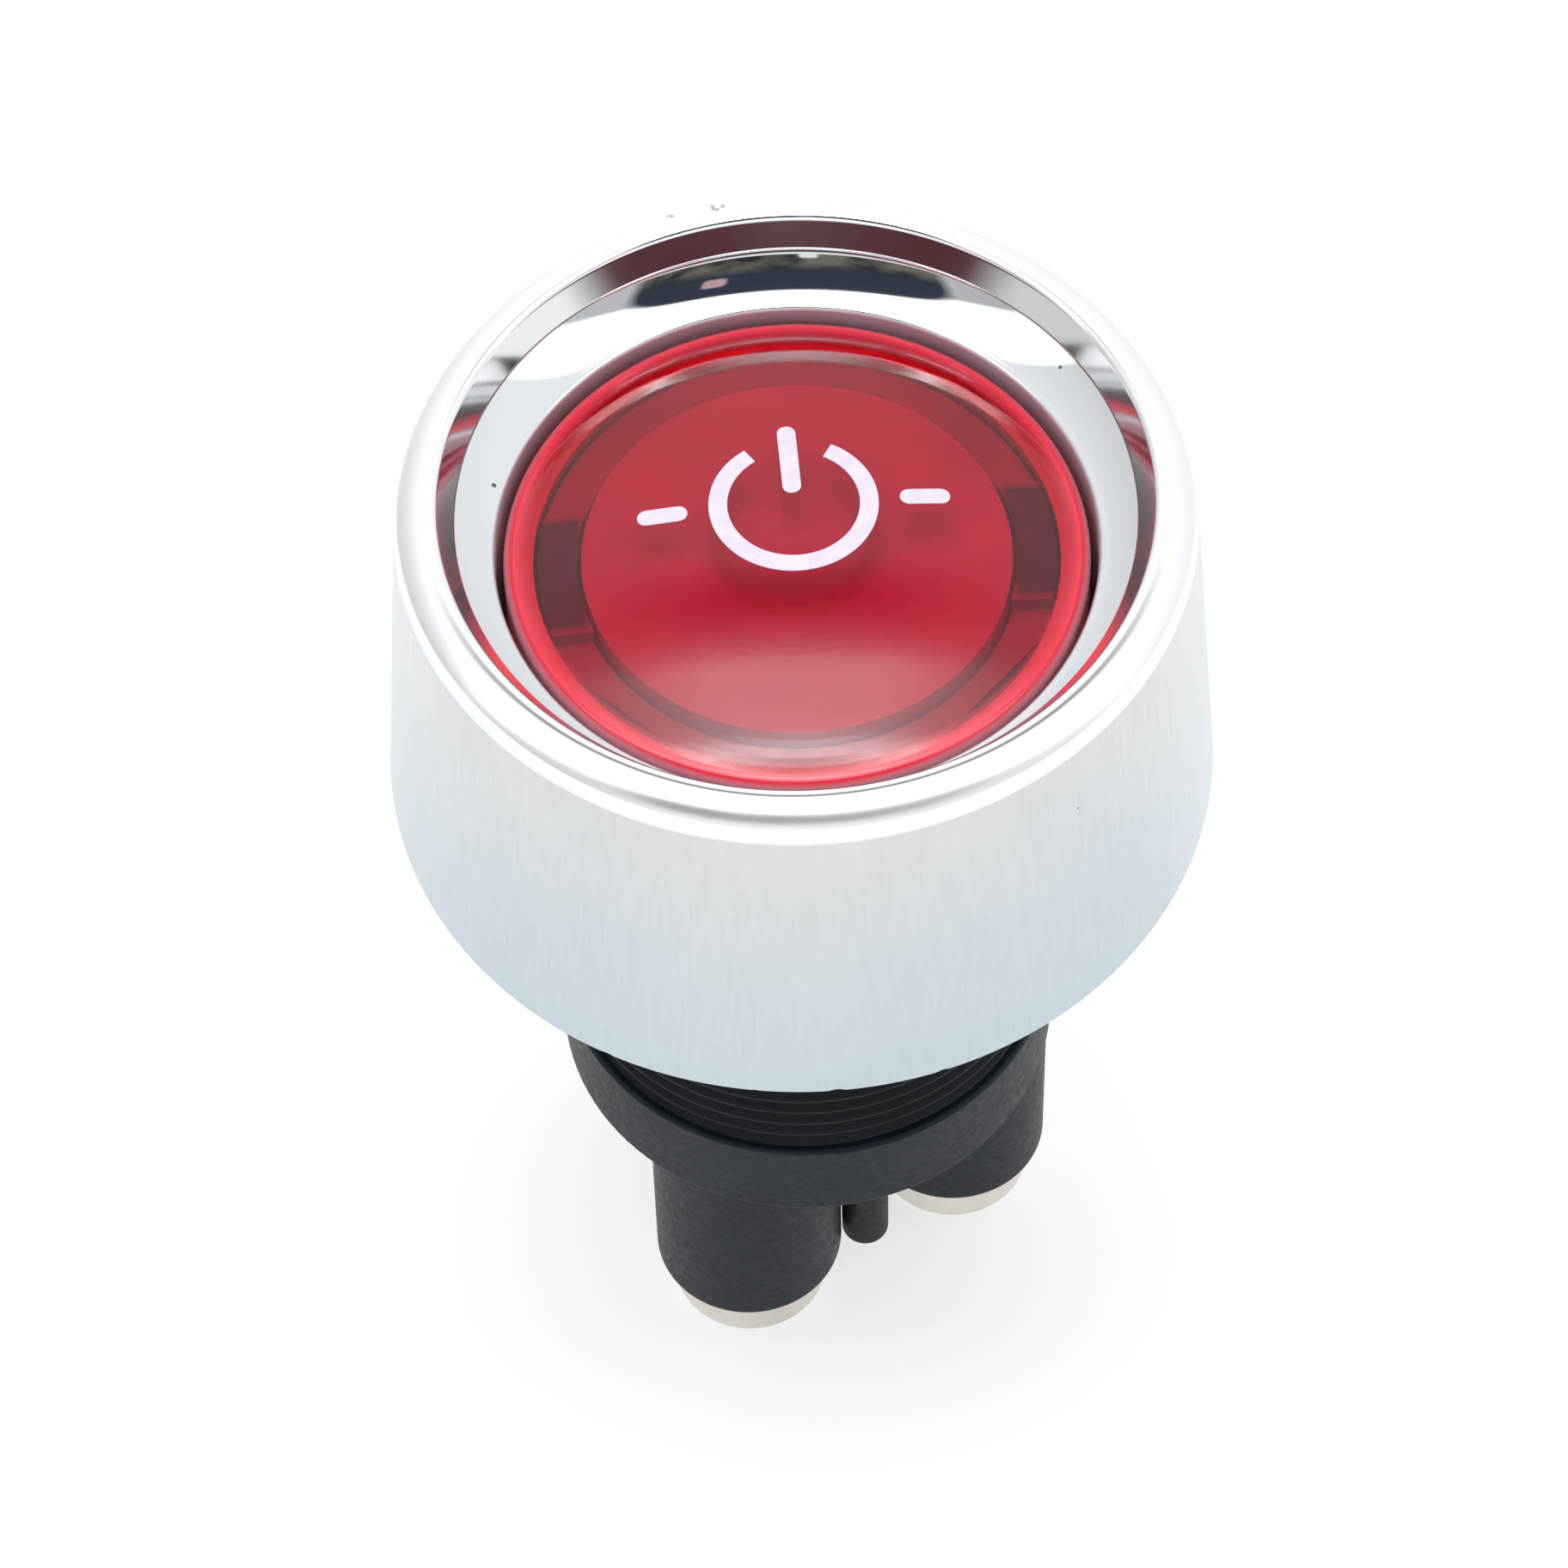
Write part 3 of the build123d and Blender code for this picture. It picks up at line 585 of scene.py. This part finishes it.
def make_bezel(material):
    """The shell: a flared side, a bevel, a round land and crest, and the wall inside it."""
    turn = math.degrees(math.asin((LAND_R - CREST_R) / LAND_ROUND))
    land = arc((CREST_R, top_z - LAND_ROUND), LAND_ROUND, 90 - turn, 90, 16)
    wall_top = arc((CREST_R, top_z - CREST_ROUND), CREST_ROUND, 90, 90 + WALL_SLOPE, 12)
    seam_r = wall_top[-1][0] - (wall_top[-1][1] - SEAM_Z) / math.tan(math.radians(WALL_SLOPE))
    flare = (foot_r - BEVEL_R) / (BEVEL_Z - foot_z)
    floor_r = foot_r - (FLOOR_Z - foot_z) * flare - BEZEL_WALL
    cone_top_r = floor_r - (LEDGE_Z - FLOOR_Z) * flare
    steps = 12
    cone = []
    for n in range(steps + 1):
        z = foot_z + FOOT_ROUND + (BEVEL_Z - foot_z - FOOT_ROUND) * n / steps
        cone.append((foot_r - (z - foot_z) * flare, z))
    foot = arc((foot_r - FOOT_ROUND, foot_z + FOOT_ROUND), FOOT_ROUND, -90, -10, 5)
    outline = foot + cone + land + wall_top[1:]
    outline += [(seam_r + out, SEAM_Z + rise) for out, rise in SEAM_TURN]
    outline += [(LEDGE_R, LEDGE_Z), (cone_top_r, LEDGE_Z), (floor_r, FLOOR_Z), (floor_r, foot_z)]

    def worn_foot(r, z, angle):
        """Small nicks in the foot's outer edge."""
        lift = 0.0
        if z < foot_z + NICK_UP and r > foot_r - NICK_ACROSS:
            for at, width, depth in NICKS:
                away = (math.degrees(angle) - at + 180) % 360 - 180
                lift = max(lift, depth * (1 - min(1, abs(away) / width) ** 2))
        return r, z + lift

    shell = lathe("bezel_chrome", held(outline), bend=worn_foot)
    wear = shell.data.attributes.new("wear", "FLOAT", "POINT")
    values = []
    for vertex in shell.data.vertices:
        x, y, z = vertex.co / MM
        r, angle = math.hypot(x, y), math.degrees(math.atan2(y, x))
        mark = 0.0
        for at, near, far in HAIRLINES:
            off_line = abs(angle - at - (r - near) * HAIRLINE_SLANT)
            if near < r < far and z > top_z - 0.6 and off_line < HAIRLINE_HALF:
                mark = HAIRLINE_DARK
        values.append(mark)
    wear.data.foreach_set("value", values)
    place(shell, "housing", "chrome_shell", material, "bezel_shell")


def make_dish(material):
    """The dished ring, its turned lip and the skirt round the cap."""
    slope = math.atan2(DISH_Z - LIP_Z, DISH_R - LIP_R)
    chord = math.hypot(DISH_Z - LIP_Z, DISH_R - LIP_R)
    hollow = []
    for n in range(1, 25):
        share = n / 24
        sag = DISH_SAG * (1 - (2 * share - 1) ** 2)
        along = chord * share
        hollow.append((LIP_R + along * math.cos(slope) + sag * math.sin(slope),
                       LIP_Z + along * math.sin(slope) - sag * math.cos(slope)))
    hollow = [point for point in hollow if point[0] > LIP_R + LIP_REACH]
    lip_turn = arc((LIP_R + LIP_ROUND, LIP_Z - LIP_DROP), LIP_ROUND, 180, 112, 8)
    outline = lip_turn + hollow + [(LEDGE_R, dish_rim_z), (dish_rim_r, dish_rim_z)]
    outline += [(dish_rim_r, DISH_UNDER_Z), (SKIRT_R, DISH_UNDER_Z)]
    outline += [(SKIRT_R, dish_foot_z), (LIP_R, dish_foot_z)]
    dish = lathe("dish_chrome", held(outline))
    place(dish, "housing", "chrome_dish", material, "dish_ring")


# ---------------------------------------------------------------- cap
shoulder_r = cap_r - CAP_ROUND
crown_rise = cap_top_z - CAP_SHOULDER_Z
dome_radius = (shoulder_r ** 2 + crown_rise ** 2) / (2 * crown_rise)
dome_centre_z = cap_top_z - dome_radius


def dome_height(x, y):
    """Height of the cap's dome over a point of the plane, in millimetres."""
    return dome_centre_z + math.sqrt(dome_radius ** 2 - x * x - y * y)


def make_cap(material, skirt_material):
    """The lens with its dome and shoulder, and the milky skirt under its edge."""
    steps = 30
    dome = [(shoulder_r * n / steps, dome_height(shoulder_r * n / steps, 0)) for n in range(steps + 1)]
    turn_top = math.degrees(math.asin(shoulder_r / dome_radius))
    shoulder = arc((shoulder_r, CAP_SHOULDER_Z - CAP_ROUND), CAP_ROUND, 90 - turn_top / 2, 0, 12)
    inner_r = cap_r - CAP_WALL
    outline = dome + shoulder[1:] + [(cap_r, CAP_CEILING_Z), (0, CAP_CEILING_Z)]
    cap = lathe("cap_lens", held(outline), sides=360)
    place(cap, "button", "red_lens", material, "button_cap")
    skirt_top_z = CAP_CEILING_Z - SKIRT_GAP
    upper = [(inner_r, skirt_top_z), (cap_r, skirt_top_z)]
    lower = [(cap_r, cap_foot_z), (inner_r, cap_foot_z)]
    skirt = lathe("cap_skirt", held(upper + lower))
    place(skirt, "button", "red_lens", skirt_material, "button_cap")


def ring_cells(inner, outer, start, end, steps):
    """Quads of a flat ring sector round the mark's centre, as a list of corner lists."""
    cells = []
    angles = [math.radians(start + (end - start) * n / steps) for n in range(steps + 1)]
    for a, b in zip(angles, angles[1:]):
        corners = [(inner, a), (outer, a), (outer, b), (inner, b)]
        cells.append([(r * math.cos(t), MARK_CENTRE_Y + r * math.sin(t)) for r, t in corners])
    return cells


def slot_cells(centre, length, width, upright):
    """Quads of a round-ended bar, in strips from its left end to its right."""
    half, round_r, steps = length / 2 - width / 2, width / 2, 12
    edge = [(half + round_r * math.cos(math.radians(t)), round_r * math.sin(math.radians(t)))
            for t in [-90 + 180 * n / steps for n in range(steps + 1)]]
    cells, pieces = [], 6
    for (x0, y0), (x1, y1) in zip(edge, edge[1:]):
        for n in range(pieces):
            s, t = n / pieces, (n + 1) / pieces
            cells.append([(-x0 + 2 * x0 * s, y0), (-x0 + 2 * x0 * t, y0),
                          (-x1 + 2 * x1 * t, y1), (-x1 + 2 * x1 * s, y1)])
    if upright:
        cells = [[(-y, x) for x, y in cell] for cell in cells]
    return [[(x + centre[0], y + centre[1]) for x, y in cell] for cell in cells]


def printed(name, cells, material, body, slot, *replaced):
    """A thin solid of ink that lies on the dome, made from flat cells."""
    points, faces, seen = [], [], {}

    def corner(x, y, lift):
        key = (round(x, 4), round(y, 4), lift)
        if key not in seen:
            seen[key] = len(points)
            points.append((x * MM, y * MM, (dome_height(x, y) + lift) * MM))
        return seen[key]

    sides = {}
    for cell in cells:
        top = [corner(x, y, MARK_THICKNESS) for x, y in cell]
        under = [corner(x, y, 0.0) for x, y in cell]
        top = [c for i, c in enumerate(top) if c not in top[:i]]
        under = [c for i, c in enumerate(under) if c not in under[:i]]
        if len(top) < 3:
            continue
        faces.append(top)
        faces.append(under[::-1])
        for a, b, c, d in zip(top, top[1:] + top[:1], under, under[1:] + under[:1]):
            sides.setdefault(frozenset((a, b)), []).append([a, c, d, b])
    faces += [found[0] for found in sides.values() if len(found) == 1]
    return place(mesh_piece(name, points, faces), body, slot, material, *replaced)


def make_mark(material):
    """The start mark: a ring with a gap, a bar in the gap, and a dash at each side."""
    half_gap = MARK_GAP / 2
    cells = ring_cells(MARK_RING_R - MARK_STROKE / 2, MARK_RING_R + MARK_STROKE / 2,
                       90 + half_gap, 450 - half_gap, 96)
    bar_middle = MARK_CENTRE_Y + sum(MARK_BAR) / 2
    cells += slot_cells((0, bar_middle), MARK_BAR[1] - MARK_BAR[0], MARK_STROKE, True)
    for side in (-1, 1):
        cells += slot_cells((side * MARK_DASH_CENTRE, MARK_CENTRE_Y), MARK_DASH_LENGTH, MARK_STROKE, False)
    printed("start_print", cells, material, "button", "white_print", "start_mark")


# ---------------------------------------------------------------- barrel and base
def make_barrel(material):
    """The threaded neck, the flange in the bezel, and the tube and guide inside."""
    outline = [(NECK_BORE_R, neck_end_z), (NECK_END_R, neck_end_z), (NECK_END_R, collar_top_z)]
    steps = int((THREAD_TOP_Z - collar_top_z) / THREAD_PITCH * 12)
    for n in range(steps + 1):
        z = collar_top_z + THREAD_START + (THREAD_TOP_Z - collar_top_z) * n / steps
        outline.append((THREAD_ROOT_R, z))
    outline += [(THREAD_R, THREAD_TOP_Z + THREAD_END), (THREAD_R, FLANGE_Z)]
    outline += [(flange_r - FLANGE_EDGE, FLANGE_Z), (flange_r, FLANGE_Z + FLANGE_EDGE)]
    outline += [(flange_r, FLOOR_Z - FLANGE_EDGE), (flange_r - FLANGE_EDGE, FLOOR_Z)]
    outline += [(TUBE_OUT_R, FLOOR_Z)]
    outline += [(TUBE_OUT_R, tube_top_z), (TUBE_IN_R, tube_top_z), (TUBE_IN_R, FLOOR_Z)]
    outline += [(GUIDE_R, FLOOR_Z), (GUIDE_R, GUIDE_Z), (NECK_BORE_R, GUIDE_Z)]

    def thread(r, z, angle):
        """The helix: a rounded ridge that rises by one pitch in a turn."""
        if abs(r - THREAD_ROOT_R) > 1e-6:
            return r, z
        phase = ((z / THREAD_PITCH - angle / (2 * math.pi)) % 1) * 2 - 1
        ridge = 1 - abs(phase)
        run_out = min(1, max(0, (THREAD_TOP_Z - z) / THREAD_PITCH))
        height = ridge * ridge * (3 - 2 * ridge) * run_out
        return THREAD_ROOT_R + (THREAD_R - THREAD_ROOT_R) * height, z

    barrel = lathe("barrel_body", outline, sides=240, bend=thread, sharp=40)
    place(barrel, "housing", "black_body", material, "barrel")


# ---------------------------------------------------------------- springs
def coil(name, foot, length, coil_r, wire_r, turns, body, slot, material, replaced):
    """A compression spring with closed ends."""
    around, per_turn = 12, 48
    total = int(turns * per_turn)
    climb = length - 2 * wire_r
    points, faces = [], []
    for n in range(total + 1):
        angle = 2 * math.pi * n / per_turn
        z = foot + wire_r + climb * (n / total)
        for m in range(around):
            t = 2 * math.pi * m / around
            r = coil_r + wire_r * math.cos(t)
            point = (r * math.cos(angle), r * math.sin(angle), z + wire_r * math.sin(t))
            points.append(tuple(c * MM for c in point))
    for n in range(total):
        for m in range(around):
            a, b = n * around + m, n * around + (m + 1) % around
            faces.append([a, b, b + around, a + around])
    faces.append(list(range(around))[::-1])
    faces.append([total * around + m for m in range(around)])
    spring = place(mesh_piece(name, points, faces, 40), body, slot, material, replaced)
    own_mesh(spring)


def travel(joint):
    """How far a joint slides, in millimetres."""
    return [j for j in frame["joints"] if j["name"] == joint][0]["range_m"][1] / MM


# ---------------------------------------------------------------- making
# The shell's first colour is painted shade on its side, and the second is its lit top.
SHELL_SHADED_SIDE_AND_LIT_TOP = ((0.655, 0.663, 0.665), (0.955, 0.96, 0.97))
DISH_COLOURS = ((0.74, 0.765, 0.79), (0.76, 0.78, 0.80))
INK = ((0.66, 0.58, 0.70), (0.74, 0.65, 0.78))
BASE_BLACK = ((0.005, 0.011, 0.017), (0.008, 0.015, 0.023))
DULL = {"Specular IOR Level": 0.2}
MILKY = {"Subsurface Weight": 0.1}
CLEAR = {"Transmission Weight": 0.8}

make_camera()
make_world()
make_floor()

make_bezel(chrome("chrome_shell", *SHELL_SHADED_SIDE_AND_LIT_TOP, streaks=1.0, polished=0.06, satin=0.27,
                  satin_from=CREST_R + 0.3))
make_dish(chrome("chrome_dish", *DISH_COLOURS, streaks=0.35, polished=0.035, satin=0.04,
                 satin_from=DISH_R))
skirt_red = moulded("skirt_red", (0.88, 0.12, 0.17), (0.95, 0.14, 0.19), 0.4)
make_cap(lens_red("red_lens"), skirt_red)
make_mark(moulded("white_print", *INK, 0.45, blotch=1500, grain=5000, grain_mm=0.01))
black = moulded("black_plastic", (0.002, 0.005, 0.009), (0.004, 0.009, 0.014), 0.42, extra=DULL)
make_barrel(black)

press, follow = travel("button_press"), travel("bridge_slide")
# Each spring: its node, its piece, the coil's and the wire's radius, its turns, the body it
# rides on, and how much it shortens.
wire = moulded("spring_wire", (0.5, 0.51, 0.53), (0.66, 0.67, 0.69), 0.28, metallic=1.0, grain_mm=0.002)
for name, piece, coil_r, wire_r, turns, body, lost in (
    ("return_spring", "return_coil", 4.15, 0.3, 8.5, "housing", press),
    ("contact_spring", "contact_coil", 7.2, 0.25, 2.5, "bridge", press - follow),
):
    start, end = low(name).z, high(name).z
    coil(piece, start, end - start, coil_r, wire_r, turns,
         body, "spring_steel", wire, name)

carrier = moulded("carrier_plastic", (0.38, 0.35, 0.35), (0.47, 0.43, 0.43), 0.5)
darken_lugs(carrier)
KEPT = {
    "panel_gasket": moulded("rubber", (0.016, 0.016, 0.017), (0.03, 0.03, 0.031), 0.75, grain_mm=0.02),
    "mounting_nut": moulded("nut_plastic", (0.014, 0.016, 0.018), (0.024, 0.027, 0.03), 0.4),
    "terminal_base": moulded("base_plastic", *BASE_BLACK, 0.48, grain_mm=0.003, extra=DULL),
    "contact_block": moulded("phenolic", (0.06, 0.025, 0.012), (0.1, 0.045, 0.022), 0.5),
    "lamp_peg": moulded("peg_plastic", (0.010, 0.010, 0.011), (0.018, 0.017, 0.017), 0.5, extra=DULL),
    "lamp_holder": moulded("nylon", (0.62, 0.6, 0.54), (0.72, 0.7, 0.64), 0.45, extra=MILKY),
    "lamp": moulded("lamp_epoxy", (0.7, 0.02, 0.02), (0.8, 0.04, 0.03), 0.08, extra=CLEAR),
    "lamp_resistor": moulded("resistor_lacquer", (0.52, 0.4, 0.24), (0.66, 0.52, 0.32), 0.3),
    "diffuser": moulded("milky", (0.60, 0.57, 0.56), (0.67, 0.64, 0.63), 0.55),
    "cap_carrier": carrier,
    "plunger": moulded("acetal", (0.03, 0.03, 0.032), (0.05, 0.05, 0.052), 0.4),
    "retaining_clip": moulded("clip_steel", (0.35, 0.35, 0.36), (0.5, 0.5, 0.52), 0.3, metallic=1.0),
    "contact_bridge": moulded("bridge_brass", (0.62, 0.43, 0.18), (0.74, 0.54, 0.25), 0.25, metallic=1.0),
}
silver = moulded("silver", (0.72, 0.72, 0.72), (0.84, 0.84, 0.83), 0.22, metallic=1.0)
nickel = moulded("nickel", (0.66, 0.62, 0.55), (0.78, 0.75, 0.68), 0.3, metallic=1.0)
KEPT.update({name: nickel for name in ("terminal_common", "terminal_switched", "terminal_lamp")})
KEPT.update({name: silver for name in ("fixed_contacts", "bridge_contacts")})
KEPT["lamp_leads"] = moulded("tinned", (0.55, 0.55, 0.56), (0.7, 0.7, 0.72), 0.3, metallic=1.0)
for name, material in KEPT.items():
    nodes[name].data.materials.clear()
    nodes[name].data.materials.append(material)
